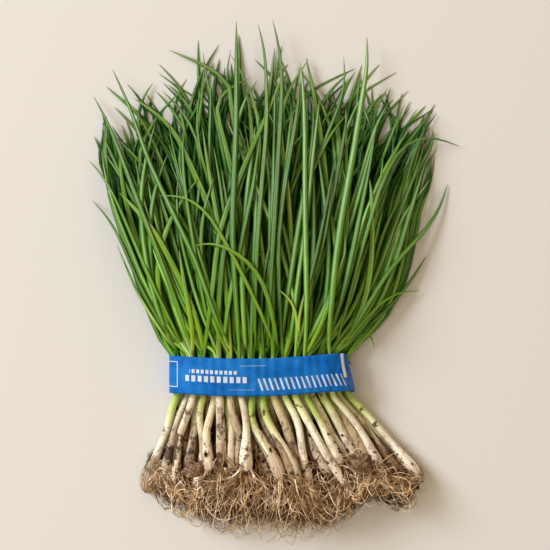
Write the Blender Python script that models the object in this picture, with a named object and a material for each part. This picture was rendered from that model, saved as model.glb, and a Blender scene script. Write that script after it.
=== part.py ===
"""A bunch of spring onions lying flat, held by one paper band.

Metres, +Z up, +Y from the roots to the leaf tips. The bunch lies on its underside at z = 0.
Each onion is one closed body, as it grew: a root tuft, a bulb, a white stem and leaves that
part above the band. The onions lie in layers. Every onion keeps its place in its layer
all along the bunch, while the whole bunch narrows at the band and fans out on both sides of
it, so no onion runs through another.
"""

import math
import random

import bmesh
import bpy
from mathutils import Vector, noise

# The bunch, measured from the middle of the band: + towards the leaves, - towards the roots.
# Every piece has a ring of points at each of these places, so that neighbours bend together.
BUNCH_STATIONS = (
    # along, middle, half width, bottom layer, distance between layers, sway
    (-0.128, 0.0200, 0.1090, 0.00560, 0.0090, 0.000),
    (-0.084, 0.0170, 0.1060, 0.00600, 0.0090, 0.000),
    (-0.045, 0.0080, 0.0880, 0.00570, 0.0087, 0.000),
    (-0.016, 0.0000, 0.0750, 0.00490, 0.0076, 0.000),
    (0.016, 0.0000, 0.0750, 0.00490, 0.0076, 0.000),
    (0.046, 0.0040, 0.1035, 0.00420, 0.0079, 0.000),
    (0.080, 0.0070, 0.1240, 0.00410, 0.0078, 0.002),
    (0.120, 0.0090, 0.1380, 0.00410, 0.0077, 0.004),
    (0.170, 0.0100, 0.1470, 0.00380, 0.0070, 0.007),
    (0.225, 0.0100, 0.1510, 0.00290, 0.0054, 0.009),
    (0.284, 0.0100, 0.1520, 0.00160, 0.0030, 0.010),
)
TIP_FALL = 0.068
TIP_FALL_POWER = 2.2

# Neighbouring half layers of leaves sway in different phases.
SWAY_TURN = 2.4
SWAY_START = 1.0
HALF_LAYER_SHIFT = 0.25

# The band: a paper strip round the onions, pressed flat where the bunch lies on it.
BAND_HALF_WIDTH = 0.075
BAND_STRIP = 0.030
PAPER = 0.0004
BAND_SIDE_HEIGHT = 0.0150
BAND_CROWN = 0.0200
BAND_FLAT_HALF = 0.063
CROWN_STEPS = 22
CORNER_STEPS = 7

# The layers of onions at the band, bottom layer first.
LAYER_COUNTS = (16, 17, 14, 9)
STEM_PITCH = 0.0086

# One onion.
STEM_SIDES = 6
STEM_RADIUS = 0.0041
SHEATH_RADIUS = 0.0037
NECK_RADIUS = 0.0030
TUFT_RADIUS = 0.0053
TUFT_END_RADIUS = 0.0026
TUFT_WIDEST = 0.45
NECK_BELOW_BULB = 0.003
BULB_MIDDLE = 0.008
BULB_TOP = -0.045
HIGH_BULB = -0.070
HIGH_BULB_RISE = 0.008
BULB_RADII = (0.0044, 0.0056)
BULB_PLACES = (-0.096, -0.062)
TUFT_LENGTHS = (0.028, 0.040)
FORK_PLACES = (0.024, 0.042)

# Leaves: flattened tubes, widest a third of the way up: (share of length, share of width).
LEAF_HALF_WIDTH = 0.0025
LEAF_HALF_HEIGHT = 0.00165
LEAF_PROFILE = ((0.0, 0.80), (0.15, 0.92), (0.35, 1.0), (0.60, 0.90), (0.84, 0.56), (1.0, 0.12))
LEAF_LENGTH_SHARES = (0.70, 1.0)
TIP_BEND = 0.004
TIP_BEND_POWER = 4
SECTOR_GAP = 0.0004
SHORTEST_STEP = 0.004
UPRIGHT_LEAN = 0.2

SOIL_SIZE = (0.0085, 0.0060, 0.0042)
SOIL_ROUGHNESS = 0.22
SOIL_BUMPS = 1.9
SOIL_PLACES = ((-0.055, -0.076), (0.078, -0.068))
SOIL_CLEARANCE = 0.0003

# Finishes: colour, roughness.
ROOTS = ((0.42, 0.28, 0.14), 0.85)
WHITE_STEM = ((0.72, 0.70, 0.50), 0.45)
GREEN_LEAF = ((0.10, 0.24, 0.05), 0.42)
BLUE_PAPER = ((0.01, 0.17, 0.55), 0.38)
SOIL = ((0.09, 0.055, 0.03), 0.95)

CHANCE = 20


def clear_scene():
    for found in list(bpy.data.objects):
        bpy.data.objects.remove(found)


def make_material(name, finish):
    colour, roughness = finish
    material = bpy.data.materials.new(name)
    material.use_nodes = True
    shader = material.node_tree.nodes["Principled BSDF"]
    shader.inputs["Base Color"].default_value = (*colour, 1.0)
    shader.inputs["Roughness"].default_value = roughness
    shader.inputs["Metallic"].default_value = 0.0
    return material


def between(stations, along):
    """Straight interpolation in rows of (along, value, value ...)."""
    along = min(max(along, stations[0][0]), stations[-1][0])
    for low, high in zip(stations, stations[1:]):
        if along <= high[0]:
            share = (along - low[0]) / (high[0] - low[0])
            return [a + (b - a) * share for a, b in zip(low[1:], high[1:])]
    return list(stations[-1][1:])


def stem_centre(along, side, layer):
    """The middle of an onion. Side runs from -1 to 1 across the bunch."""
    middle, half_width, bottom, distance, _ = between(BUNCH_STATIONS, along)
    return Vector((middle + half_width * side, along, bottom + distance * layer))


def leaf_centre(along, place, half_layer):
    """The middle of a leaf. All leaves of one half layer drift sideways together."""
    middle, half_width, bottom, distance, sway = between(BUNCH_STATIONS, along)
    drift = sway * math.sin(SWAY_TURN * half_layer + SWAY_START)
    height = bottom + distance * (half_layer / 2 - HALF_LAYER_SHIFT)
    return Vector((middle + half_width * place + drift, along, height))


def with_bunch_places(stations):
    """Adds the places that all pieces share to a piece's own (along, value) stations."""
    places = [place for place, _ in stations]
    shared = [
        row[0]
        for row in BUNCH_STATIONS
        if places[0] < row[0] < places[-1] and row[0] not in places
    ]
    return [(along, between(stations, along)[0]) for along in sorted(places + shared)]


def ring_points(centre, radius, angles):
    return [
        centre + Vector((radius * math.cos(a), 0.0, radius * math.sin(a)))
        for a in angles
    ]


def extrude_to(mesh, face, points):
    """Extrudes one face and puts its corners at the points, in order. Returns the end face."""
    end = bmesh.ops.extrude_discrete_faces(mesh, faces=[face])["faces"][0]
    for vertex, point in zip(end.verts, points):
        vertex.co = point
    return end


def grow_stem(mesh, side, layer, stations):
    """A closed stem through (along, radius) stations. Returns its upper end face."""
    bmesh.ops.create_cone(
        mesh, cap_ends=True, segments=STEM_SIDES, radius1=1.0, radius2=1.0, depth=2.0
    )
    mesh.faces.ensure_lookup_table()
    top = max(mesh.faces, key=lambda face: face.calc_center_median().z)
    ring = list(top.verts)
    angles = {vertex: math.atan2(-vertex.co.y, vertex.co.x) for vertex in mesh.verts}
    for vertex in mesh.verts:
        along, radius = stations[1] if vertex in ring else stations[0]
        centre = stem_centre(along, side, layer)
        vertex.co = ring_points(centre, radius, [angles[vertex]])[0]
    ring_angles = [angles[vertex] for vertex in ring]
    for along, radius in stations[2:]:
        centre = stem_centre(along, side, layer)
        top = extrude_to(mesh, top, ring_points(centre, radius, ring_angles))
    return top


def split_top(mesh, top, two_above):
    """Divides the end of a stem into three kite-shaped sectors, a little apart."""
    corners = list(top.verts)
    highest = corners.index(max(corners, key=lambda corner: corner.co.z))
    centre = bmesh.ops.poke(mesh, faces=[top])["verts"][0]
    spokes = [
        edge
        for edge in centre.link_edges
        if (corners.index(edge.other_vert(centre)) - highest) % 2 == two_above
    ]
    bmesh.ops.dissolve_edges(mesh, edges=spokes, use_verts=False)
    sectors = list(centre.link_faces)
    bmesh.ops.inset_individual(mesh, faces=sectors, thickness=SECTOR_GAP)
    return sectors


def matching_order(face, corners):
    """The corners, turned so that each one follows the nearest corner of the face."""
    middle = face.calc_center_median()
    flat = [(v.co - middle).normalized() for v in face.verts]
    options = []
    for order in (corners, corners[::-1]):
        for turn in range(len(order)):
            options.append(order[turn:] + order[:turn])
    return min(
        options,
        key=lambda option: sum(
            (Vector((x, 0.0, z)).normalized() - direction).length
            for (x, z), direction in zip(option, flat)
        ),
    )


def grow_leaf(mesh, sector, fork, tip, place, half_layer, tip_bend):
    """Extrudes one sector into a leaf. Place is the leaf's own side across the bunch."""
    order = matching_order(sector, [(1, 1), (-1, 1), (-1, -1), (1, -1)])
    places = [row[0] for row in BUNCH_STATIONS if fork < row[0] < tip - SHORTEST_STEP]
    for along in places + [tip]:
        share = (along - fork) / (tip - fork)
        thickness = between(LEAF_PROFILE, share)[0]
        centre = leaf_centre(along, place, half_layer)
        centre.x += tip_bend * share**TIP_BEND_POWER
        reach = Vector((LEAF_HALF_WIDTH, 0.0, LEAF_HALF_HEIGHT)) * thickness
        points = [centre + Vector((x * reach.x, 0.0, z * reach.z)) for x, z in order]
        sector = extrude_to(mesh, sector, points)


def spring_onion(name, layer, column, dice, materials):
    """One whole onion as one closed body."""
    count = LAYER_COUNTS[layer]
    side = (column - (count - 1) / 2) * STEM_PITCH / BAND_HALF_WIDTH
    bulb = dice.uniform(*BULB_PLACES)
    tuft_end = max(bulb - dice.uniform(*TUFT_LENGTHS), BUNCH_STATIONS[0][0])
    bulb_radius = dice.uniform(*BULB_RADII)
    fork = dice.uniform(*FORK_PLACES)
    band_edge = BAND_STRIP / 2
    rise = HIGH_BULB_RISE if bulb > HIGH_BULB else 0.0
    stations = (
        (tuft_end, TUFT_END_RADIUS),
        (tuft_end + TUFT_WIDEST * (bulb - tuft_end), TUFT_RADIUS),
        (bulb - NECK_BELOW_BULB, NECK_RADIUS),
        (bulb + BULB_MIDDLE, bulb_radius),
        (BULB_TOP + rise, STEM_RADIUS),
        (fork, SHEATH_RADIUS),
    )
    mesh = bmesh.new()
    top = grow_stem(mesh, side, layer, with_bunch_places(stations))
    middle = top.calc_center_median()
    two_above = column % 2
    tip_bend = dice.choice((-1, 1)) * dice.uniform(0, TIP_BEND)
    reach = BUNCH_STATIONS[-1][0] - TIP_FALL * abs(side) ** TIP_FALL_POWER
    quarter = STEM_PITCH / BAND_HALF_WIDTH / 4
    for sector in split_top(mesh, top, two_above):
        lean = sector.calc_center_median() - middle
        upper = lean.z > 0
        alone = abs(lean.x) < abs(lean.z) * UPRIGHT_LEAN
        place = side if alone else side + math.copysign(quarter, lean.x)
        half_layer = 2 * layer + (1 if upper else 0)
        tip = reach * dice.uniform(*LEAF_LENGTH_SHARES)
        grow_leaf(mesh, sector, fork, tip, place, half_layer, tip_bend)
    bmesh.ops.recalc_face_normals(mesh, faces=mesh.faces)
    data = bpy.data.meshes.new(name)
    mesh.to_mesh(data)
    mesh.free()
    for material in materials:
        data.materials.append(material)
    for polygon in data.polygons:
        along = polygon.center.y
        polygon.material_index = 0 if along < bulb else 1 if along < band_edge else 2
    return place_in_scene(name, data)


def place_in_scene(name, data):
    made = bpy.data.objects.new(name, data)
    bpy.context.scene.collection.objects.link(made)
    return made


def band_outline():
    """The band's outer line in (x, z): an elliptical crown over a flat foot with round corners."""
    corner_width = BAND_HALF_WIDTH - BAND_FLAT_HALF
    points = []
    for step in range(CROWN_STEPS + 1):
        angle = math.pi * step / CROWN_STEPS
        crown = BAND_SIDE_HEIGHT + BAND_CROWN * math.sin(angle)
        points.append((BAND_HALF_WIDTH * math.cos(angle), crown))
    quarter = [math.pi / 2 * step / CORNER_STEPS for step in range(1, CORNER_STEPS + 1)]
    left = [
        (
            -BAND_FLAT_HALF - corner_width * math.cos(angle),
            BAND_SIDE_HEIGHT * (1 - math.sin(angle)),
        )
        for angle in quarter
    ]
    right = [(-x, z) for x, z in reversed(left)]
    return points + left + right


def paper_band(material):
    """The strip, drawn as a thin sheet round the onions and thickened inwards."""
    mesh = bmesh.new()
    outline = [
        mesh.verts.new((x, -BAND_STRIP / 2, z)) for x, z in band_outline()
    ]
    edges = [
        mesh.edges.new((vertex, outline[(n + 1) % len(outline)]))
        for n, vertex in enumerate(outline)
    ]
    made = bmesh.ops.extrude_edge_only(mesh, edges=edges)["geom"]
    moved = [item for item in made if isinstance(item, bmesh.types.BMVert)]
    bmesh.ops.translate(mesh, verts=moved, vec=(0.0, BAND_STRIP, 0.0))
    bmesh.ops.recalc_face_normals(mesh, faces=mesh.faces)
    data = bpy.data.meshes.new("paper_band")
    mesh.to_mesh(data)
    mesh.free()
    data.materials.append(material)
    band = place_in_scene("paper_band", data)
    thicken = band.modifiers.new("Paper", "SOLIDIFY")
    thicken.thickness = PAPER
    thicken.offset = -1.0
    thicken.use_even_offset = True
    return band


def soil_clod(name, place, seed, material):
    """A lump of dried soil caught on the bulbs of the layer under the top one."""
    x, along = place
    under = stem_centre(along, 0.0, len(LAYER_COUNTS) - 2)
    floor = under.z + TUFT_RADIUS + SOIL_CLEARANCE
    mesh = bmesh.new()
    bmesh.ops.create_icosphere(mesh, subdivisions=3, radius=1.0)
    for vertex in mesh.verts:
        bump = noise.noise(vertex.co * SOIL_BUMPS + Vector((seed, 0.0, 0.0)))
        vertex.co = vertex.co * (1.0 + SOIL_ROUGHNESS * bump)
        vertex.co = Vector(s * c for s, c in zip(SOIL_SIZE, vertex.co))
    lowest = min(vertex.co.z for vertex in mesh.verts)
    bmesh.ops.translate(mesh, verts=mesh.verts, vec=(x, along, floor - lowest))
    data = bpy.data.meshes.new(name)
    mesh.to_mesh(data)
    mesh.free()
    data.shade_smooth()
    data.materials.append(material)
    return place_in_scene(name, data)


def centre_over_origin(objects):
    """Moves every piece so that the bunch's box is centred over the origin and stands on it."""
    corners = [vertex.co for made in objects for vertex in made.data.vertices]
    low = Vector(min(corner[axis] for corner in corners) for axis in range(3))
    high = Vector(max(corner[axis] for corner in corners) for axis in range(3))
    middle = (low + high) / 2
    for made in objects:
        made.location = (-middle.x, -middle.y, -low.z)


def main():
    clear_scene()
    onion_materials = (
        make_material("Roots", ROOTS),
        make_material("White stem", WHITE_STEM),
        make_material("Green leaf", GREEN_LEAF),
    )
    band_material = make_material("Blue paper", BLUE_PAPER)
    soil_material = make_material("Soil", SOIL)
    dice = random.Random(CHANCE)
    objects = [paper_band(band_material)]
    for layer, count in enumerate(LAYER_COUNTS):
        for column in range(count):
            name = f"spring_onion_{layer + 1}_{column + 1:02d}"
            objects.append(spring_onion(name, layer, column, dice, onion_materials))
    for number, place in enumerate(SOIL_PLACES):
        name = f"soil_clod_{number + 1}"
        objects.append(soil_clod(name, place, 5.0 * number, soil_material))
    centre_over_origin(objects)


main()
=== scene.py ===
import math
import random
import time

import bmesh
import bpy
import numpy as np
from mathutils import Matrix, Vector, geometry, noise


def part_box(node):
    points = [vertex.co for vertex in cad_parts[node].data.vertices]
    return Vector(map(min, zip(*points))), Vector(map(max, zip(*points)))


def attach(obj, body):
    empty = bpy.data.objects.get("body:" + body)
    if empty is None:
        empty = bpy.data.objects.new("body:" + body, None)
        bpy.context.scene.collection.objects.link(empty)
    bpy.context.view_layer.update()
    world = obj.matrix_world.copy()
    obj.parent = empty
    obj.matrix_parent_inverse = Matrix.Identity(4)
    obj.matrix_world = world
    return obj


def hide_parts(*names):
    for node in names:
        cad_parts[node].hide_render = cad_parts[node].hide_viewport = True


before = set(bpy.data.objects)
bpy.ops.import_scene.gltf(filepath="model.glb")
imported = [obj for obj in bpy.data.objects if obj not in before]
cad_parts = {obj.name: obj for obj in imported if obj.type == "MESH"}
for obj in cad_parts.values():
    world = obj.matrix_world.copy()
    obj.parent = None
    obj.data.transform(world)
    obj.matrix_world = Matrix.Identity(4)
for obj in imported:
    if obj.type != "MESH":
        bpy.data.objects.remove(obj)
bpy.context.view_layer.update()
started = time.time()
dice = random.Random(11)
noise.seed_set(11)  # the noise would start from the clock otherwise

bandLow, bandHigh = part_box("paper_band")
bandMiddle = (bandLow + bandHigh) / 2
bandHalfWidth = (bandHigh.x - bandLow.x) / 2
bandHalfStrip = (bandHigh.y - bandLow.y) / 2


def say(words):
    print(f"{time.time() - started:6.1f} s  {words}")


def pickNone():
    bpy.ops.object.select_all(action="DESELECT")


def pick(*pieces):
    pickNone()
    for piece in pieces:
        piece.select_set(True)
    bpy.context.view_layer.objects.active = pieces[-1]


def pickFaces(piece, rule):  # in edit mode, selects only the faces that the rule accepts
    bpy.ops.mesh.select_all(action="DESELECT")
    mesh = bmesh.from_edit_mesh(piece.data)
    for face in mesh.faces:
        if rule(face):
            face.select = True
    bmesh.update_edit_mesh(piece.data)


def newPiece(name, data):
    piece = bpy.data.objects.new(name, data)
    bpy.context.scene.collection.objects.link(piece)
    return piece


def joined(pieces):
    pick(*pieces)
    bpy.ops.object.join()
    return bpy.context.active_object


def startEdit(piece):  # into edit mode with everything selected
    pick(piece)
    bpy.ops.object.mode_set(mode="EDIT")
    bpy.ops.mesh.select_all(action="SELECT")


def endEdit():
    bpy.ops.object.mode_set(mode="OBJECT")


def finishModifier(piece, modifier):
    pick(piece)
    bpy.ops.object.modifier_apply(modifier=modifier.name)


def meshPoints(piece):
    points = np.zeros(len(piece.data.vertices) * 3, np.float32)
    piece.data.vertices.foreach_get("co", points)
    return points.reshape(-1, 3)


def movePoints(piece, points):
    piece.data.vertices.foreach_set("co", points.astype(np.float32).ravel())
    piece.data.update()


def label(piece, name, values):  # three numbers for every point, which a finish reads as an attribute
    layer = piece.data.attributes.new(name, "FLOAT_VECTOR", "POINT")
    layer.data.foreach_set("vector", np.array(values, np.float32).ravel())


studio = {
    "cameraHeight": 1.6,
    "viewWidth": 0.44,  # metres that the view covers at the bunch
    "aim": (0.0018, 0.003, 0.024),
    "floorColour": (0.83, 0.83, 0.82),
    "softboxColour": (0.87, 0.925, 0.97),
    "key": ((-3.6, 1.9, 2.65), 2.3, 212),  # place, size, power
    "fill": ((-1.5, -0.5, 2.8), 2, 12),
    "skyColour": (1, 0.745, 0.46),
    "skyPower": 0.47,
}


def addCamera():
    view = bpy.data.cameras.new("overheadCamera")
    rig = newPiece("overheadCamera", view)
    rig.location = Vector(studio["aim"]) + Vector((0, 0, studio["cameraHeight"]))
    view.sensor_width = 36
    view.lens = view.sensor_width * studio["cameraHeight"] / studio["viewWidth"]
    view.clip_end = 20
    bpy.context.scene.camera = rig


def addSoftbox(name, place, size, power):
    lamp = bpy.data.lights.new(name, "AREA")
    lamp.shape = "DISK"
    lamp.size = size
    lamp.energy = power
    lamp.color = studio["softboxColour"]
    rig = newPiece(name, lamp)
    rig.location = place
    rig.rotation_euler = (-Vector(place)).to_track_quat("-Z", "Y").to_euler()


def addFloor():
    pickNone()
    bpy.ops.mesh.primitive_plane_add(size=12, location=(0, 0, 0))
    floor = bpy.context.active_object
    floor.name = "studioFloor"
    paint = bpy.data.materials.new("paleFloor")
    paint.use_nodes = True
    shader = paint.node_tree.nodes["Principled BSDF"]
    shader.inputs["Base Color"].default_value = (*studio["floorColour"], 1)
    shader.inputs["Roughness"].default_value = 0.7
    shader.inputs["Specular IOR Level"].default_value = 0.2
    floor.data.materials.append(paint)


def addStudio():
    addCamera()
    addSoftbox("keySoftbox", *studio["key"])
    addSoftbox("fillSoftbox", *studio["fill"])
    world = bpy.data.worlds.new("studioSky")
    world.use_nodes = True
    sky = world.node_tree.nodes["Background"]
    sky.inputs["Color"].default_value = (*studio["skyColour"], 1)
    sky.inputs["Strength"].default_value = studio["skyPower"]
    bpy.context.scene.world = world
    bpy.context.scene.view_settings.view_transform = "Standard"
    addFloor()


# all sizes are in metres unless a note says mm; "along" is measured from the band's middle towards the leaf
# tips, and "side" runs from -1 to 1 across the bunch
bunch = {
    "slice": 0.006,  # routes are worked out on slices this far apart
    "fanGrowth": 0.0786,  # how far the leaves spread beyond the band on each side
    "fanTurn": 0.1,  # over about this length
    "fanShift": 0.008,  # and how far the whole fan leans to the right
    "endLean": 0.0066,  # the band's right end leans in by this much at its upper edge
    "splay": 0.011,  # how far the outer stems swing out below the band
    "outline": (  # (sideways, along) in mm that leaf tips don't pass, apart from the few given one by one
        (-150, 136), (-136, 172), (-127, 210), (-114, 202), (-104, 190), (-100, 256), (-90, 240),
        (-82, 212), (-70, 228), (-55, 266), (-38, 258), (-21, 286), (-7, 224), (6, 256), (14, 276),
        (24, 248), (38, 258), (50, 244), (60, 230), (76, 258), (86, 232), (104, 240), (116, 216),
        (128, 214), (140, 182), (152, 150),
    ),
    "bulge": (  # (along, left, right) in mm: how far the edges stand out beyond the plain fan
        (0, 0, 0), (20, 1, 6), (55, -3, 1), (100, -5, -6), (130, -1, -9), (155, 4, -5), (180, 7, -3),
        (220, 2, -3), (300, 0, 0),
    ),
    "growthStart": -0.1,  # growth, for the colours, is 0 here and 1 at the farthest tips
    "growthLength": 0.4,
}

stemShape = {
    "from": -0.102,
    "to": 0.048,
    "sides": 10,
    "radius": 0.0035,
    "slimmest": 0.74,  # against the radius
    "bulbRadius": (0.0041, 0.0072, 0.005),  # least, most, usual
    "longer": 0.009,  # stems in the middle of the upper layers reach this much lower
    "dirtAndShade": (0.25, 0.18, 0.05, 0),  # added to each layer's dirt, from the lowest layer up: partly painted shade that makes the lower layers darker
    "fork": (-0.002, 0.009),  # where the stem opens into leaves, hidden by the band
}

leafBlade = {
    "from": 0,
    "to": 0.3,
    "each": (8, 8, 9, 9),  # an onion has one of these numbers of leaves
    "radius": (0.0013, 0.0032, 0.0019),  # least, most, usual
    "room": (0.94, 1.12),  # how much room a leaf takes near the band and at the tips
    "sides": 8,
    "flatness": 0.74,  # height against width
    "outline": (  # share of the length, share of the width
        (0, 0.44), (0.04, 0.52), (0.09, 0.62), (0.15, 0.72), (0.22, 0.82), (0.3, 0.91),
        (0.38, 0.97), (0.46, 1), (0.54, 0.99), (0.62, 0.95), (0.69, 0.9), (0.75, 0.83),
        (0.8, 0.75), (0.85, 0.65), (0.89, 0.55), (0.92, 0.46), (0.948, 0.36), (0.972, 0.25),
        (0.989, 0.14), (1, 0.035),
    ),
}


def growthAt(along):
    return (along - bunch["growthStart"]) / bunch["growthLength"]


def fanShare(along):
    return 1 - np.exp(-np.maximum(along - 0.012, 0) / bunch["fanTurn"])


def fanPlace(side, along):
    halfWidth = bandHalfWidth + bunch["fanGrowth"] * fanShare(along)
    places, left, right = np.array(bunch["bulge"]).T / 1000
    bulge = np.interp(along, places, right) * np.maximum(side, 0) ** 3
    bulge = bulge - np.interp(along, places, left) * np.maximum(-side, 0) ** 3
    return bandMiddle.x + bunch["fanShift"] * fanShare(along) + halfWidth * side + bulge


def leanIn(x, along):  # what passes through the band's right end leans with it
    side = np.clip((x - bandMiddle.x) / bandHalfWidth, 0, 1.25)
    return x - bunch["endLean"] * side**3 * np.exp(-(((along - 0.016) / 0.02) ** 2))


def stemRings(node):  # (place along y, middle, radius) of each ring of the plain stem below the band
    points = meshPoints(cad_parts[node])
    rings = []
    for level in np.unique(np.round(points[:, 1], 4)):
        if level < bandMiddle.y:
            ring = points[abs(points[:, 1] - level) < 2e-4]
            low, high = ring.min(0), ring.max(0)
            rings.append((float(level), (low + high) / 2, float(high[0] - low[0]) / 2))
    return rings


def readOnion(node):
    rings = stemRings(node)
    neck = next(
        n for n in range(1, len(rings) - 1)
        if rings[n][2] < rings[n - 1][2] and rings[n][2] < rings[n + 1][2]
    )
    middles = np.array([middle for _, middle, _ in rings])
    radius = stemShape["radius"] * dice.uniform(stemShape["slimmest"], 1.04)
    layer = int(node.split("_")[2])
    side = (middles[-1][0] - bandMiddle.x) / bandHalfWidth
    longer = stemShape["longer"] * (layer >= 3) * max(0, 1 - abs(side)) ** 0.5
    longer += stemShape["longer"] * (layer == 2) * (side > 0.9)
    return {
        "node": node,
        "layer": layer,
        "base": max(rings[neck][0] - bandMiddle.y - longer, -0.0985),
        "places": [level - bandMiddle.y for level, _, _ in rings],
        "middles": middles,
        "side": side,
        "leafEnd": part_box(node)[1].y - bandMiddle.y,
        "radius": radius,
        "bulb": max(radius * 1.06, dice.triangular(*stemShape["bulbRadius"])),
        "fork": dice.uniform(*stemShape["fork"]),
        "growthShift": dice.gauss(0, 0.026) + 0.05 * (dice.random() < 0.14) + 0.022 * (middles[-1][0] > 0),
        "tint": dice.random(),
        "dirtAndShade": min(1, dice.triangular(0, 0.8, 0.1) + stemShape["dirtAndShade"][layer - 1]),
    }


settling = {  # how much strands give way in each round
    "push": 0.3,
    "wayward": (0.035, 0.004),  # how fast they go back to their own course, sideways and in height
    "spring": (0.3, 0.22),
    "wall": 0.35,  # how firmly the outline of the fan holds them in
    "sinking": 0.85,  # share of the rounds in which they sink
    "stems": (160, 0.00012),  # rounds, and how far they sink in each
    "leaves": (240, 0.00016),
    "liftedLeaf": 0.00005,  # how far a leaf that holds itself up sinks
}


def nearPairs(x, z, reach):
    near = np.hypot(x[:, :, None] - x[:, None, :], z[:, :, None] - z[:, None, :])
    near = near < reach[:, :, None] + reach[:, None, :] + 0.003
    near &= (reach[:, :, None] > 0) & (reach[:, None, :] > 0)
    near &= np.triu(np.ones(near.shape[1:], bool), 1)
    return np.nonzero(near)


def pushApart(x, z, reach, pairs, firmness):
    row, one, other = pairs
    gapX = x[row, other] - x[row, one]
    gapZ = z[row, other] - z[row, one]
    apart = np.hypot(gapX, gapZ) + 1e-6
    push = np.maximum(reach[row, one] + reach[row, other] - apart, 0) * firmness / apart
    columns = x.shape[1]
    for values, gap in ((x, gapX * 0.8), (z, gapZ)):
        moved = np.bincount(row * columns + other, gap * push, x.size)
        moved -= np.bincount(row * columns + one, gap * push, x.size)
        values += moved.reshape(x.shape)


def straighten(values, firmness):  # a stem or a leaf is springy, so it bends only gently
    bend = values[:-2] + values[2:] - 2 * values[1:-1]
    values[1:-1] += bend * firmness
    values[0] += (2 * values[1] - values[2] - values[0]) * firmness * 0.5
    values[-1] += (2 * values[-2] - values[-3] - values[-1]) * firmness * 0.5


def settle(x, z, reach, wantX, wantZ, held, rounds, sag, walls):
    # strands are pushed apart and sink until they rest on each other
    heldX, heldZ = x.copy(), z.copy()
    for turn in range(rounds):
        if turn % 10 == 0:
            pairs = nearPairs(x, z, reach)
        pushApart(x, z, reach, pairs, settling["push"])
        if turn < rounds * settling["sinking"]:
            z -= sag
            x += (wantX - x) * settling["wayward"][0]
            z += (wantZ - z) * settling["wayward"][1]
        drift = x - wantX
        straighten(drift, settling["spring"][0])
        x[:] = wantX + drift
        straighten(z, settling["spring"][1])
        np.maximum(z, reach + 0.0002, out=z)
        if walls is not None:
            x += (np.clip(x, *walls) - x) * settling["wall"]
        x[held], z[held] = heldX[held], heldZ[held]


def stemRoutes():
    along = np.arange(stemShape["from"], stemShape["to"] + 0.012, bunch["slice"])
    x, z, reach = (np.zeros((len(along), len(onions))) for _ in range(3))
    fromBand = np.maximum(-0.018 - along, 0) / 0.08
    for n, onion in enumerate(onions):
        built = np.interp(along, onion["places"], onion["middles"][:, 0])
        x[:, n] = np.where(along < 0, built, fanPlace(onion["side"], along))
        wander = dice.gauss(0, 0.0042) * np.sin(fromBand * 4 + dice.uniform(0, 6.28))
        x[:, n] += wander * np.minimum(fromBand * 3, 1) + dice.gauss(0, 0.0055) * fromBand**1.5
        x[:, n] += bunch["splay"] * onion["side"] ** 3 * (1 - np.exp(-fromBand * 4))
        z[:, n] = np.interp(along, onion["places"], onion["middles"][:, 2])
        z[:, n] += dice.uniform(0, 0.004) * fromBand
        fromBase = along - onion["base"]
        bulge = (onion["bulb"] - onion["radius"]) * np.exp(-(((fromBase - 0.01) / 0.012) ** 2))
        reach[:, n] = np.where(fromBase > -0.004, onion["radius"] + bulge, 0)
    held = np.zeros(x.shape, bool)
    held[abs(along) < 0.017] = True
    settle(x, z, reach, x.copy(), z.copy(), held, *settling["stems"], None)
    return along, x, z


def leafPlan(n, onion, turn, leaf):
    angle = turn + leaf * 2.4
    outwards = 1 if dice.random() < 0.5 + 0.45 * onion["side"] else -1
    hooked = dice.random() < 0.3
    return {
        "onion": n,
        "offset": (0.0017 * math.cos(angle), 0.0017 * math.sin(angle)),
        "radius": dice.triangular(*leafBlade["radius"]),
        "end": onion["leafEnd"] * (1 if leaf == 1 else dice.triangular(0.42, 1.06, 0.96)),
        "drift": dice.gauss(0, 0.25) + 0.07 * math.cos(angle),
        "driftTurn": dice.uniform(0.7, 2.4),
        "bow": dice.gauss(0, 0.006),
        "wave": dice.gauss(0, 0.0022),
        "tipLength": dice.uniform(0.03, 0.085),
        "tipBend": outwards * abs(dice.gauss(0, 0.028 if hooked else 0.012)),
        "lift": dice.uniform(0.002, 0.014) * (dice.random() < 0.4),
        "tint": dice.uniform(0.09, 1),
    }


def leafCourse(along, leaf, onion, startX):
    # the sideways course that a leaf would take with no neighbours
    up = np.clip((along - along[0]) / 0.26, 0, None)
    side = onion["side"] * 1.07 + leaf["drift"] * up ** leaf["driftTurn"]
    over = np.maximum(abs(side) - 1, 0)
    side = np.sign(side) * (np.minimum(abs(side), 1) - 0.6 * over)
    course = fanPlace(side, along)
    course += (startX + leaf["offset"][0] - course[0]) * np.exp(-up * 4)
    share = np.clip(along / leaf["end"], 0, 1)
    course += leaf["bow"] * np.sin(share * math.pi) + leaf["wave"] * np.sin(share * 2 * math.pi)
    tip = np.clip((along - leaf["end"] + leaf["tipLength"]) / leaf["tipLength"], 0, None)
    return course + leaf["tipBend"] * tip**2


def tipLimit(along, x):  # how far a leaf runs before it leaves the outline of the bunch
    across, limits = np.array(bunch["outline"]).T / 1000
    beyond = along > np.interp(x, across, limits)
    return float(along[np.argmax(beyond)]) - dice.triangular(-0.004, 0.04, 0) if beyond.any() else 1


def routePoints(places, n, along, x, z):  # points of the nth route at some places along the bunch
    sideways = leanIn(np.interp(places, along, x[:, n]), places)
    return np.column_stack((sideways, places + bandMiddle.y, np.interp(places, along, z[:, n])))


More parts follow.
